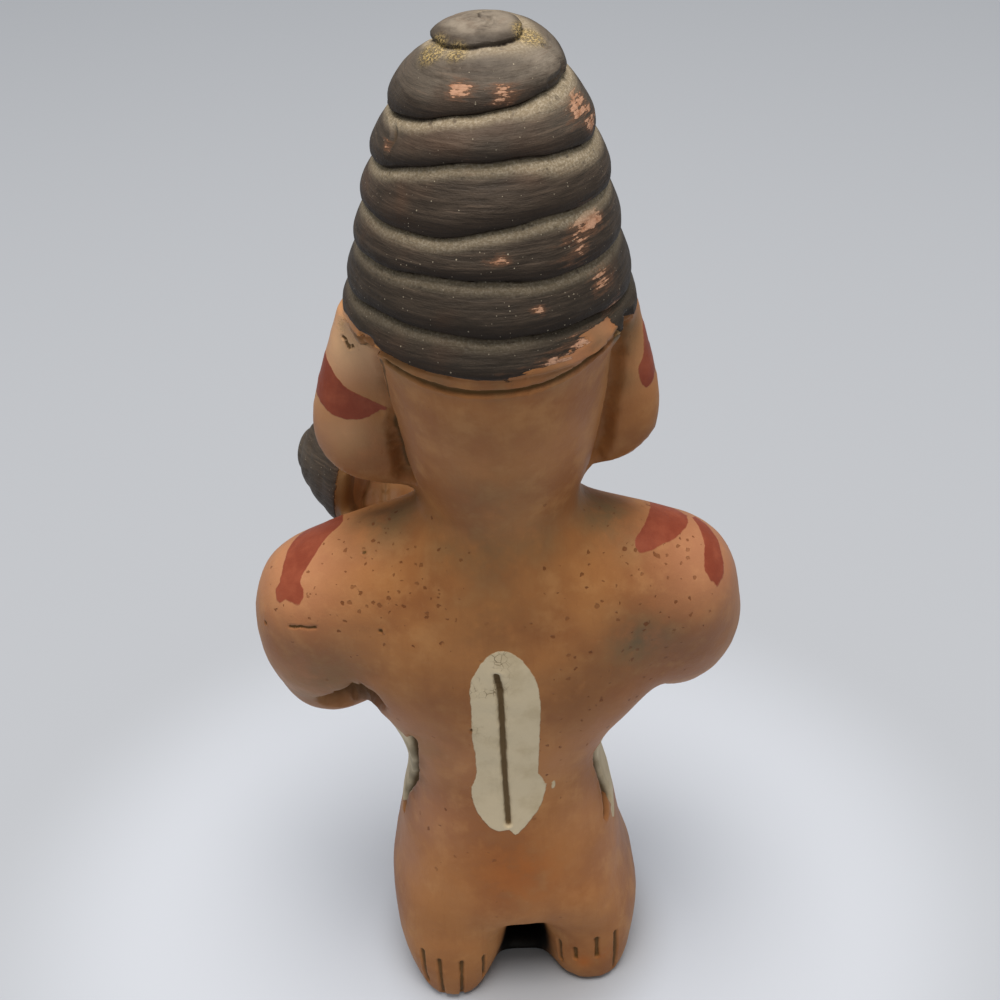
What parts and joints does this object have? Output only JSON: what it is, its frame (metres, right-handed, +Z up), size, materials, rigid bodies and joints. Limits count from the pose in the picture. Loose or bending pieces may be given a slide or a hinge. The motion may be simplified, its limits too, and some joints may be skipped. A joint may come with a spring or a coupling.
{
  "type": "kneeling terracotta figure with a coiled hat",
  "caption": "Kneeling hand-modelled terracotta figure with a tall coiled hat, large ears and a small domed shield in its left hand.",
  "frame": {"origin": "on the floor under the middle of the figure's outline", "axes": "+Z up along the figure, -Y the way it faces, +X its left side"},
  "size_m": [0.1202, 0.0832, 0.2599],
  "materials": {
    "fired_clay": "burnished fired clay with painted slip: dark hat, red strokes and cream patches"
  },
  "bodies": {
    "root": {"terracotta_figure": "fired_clay"}
  },
  "joints": []
}
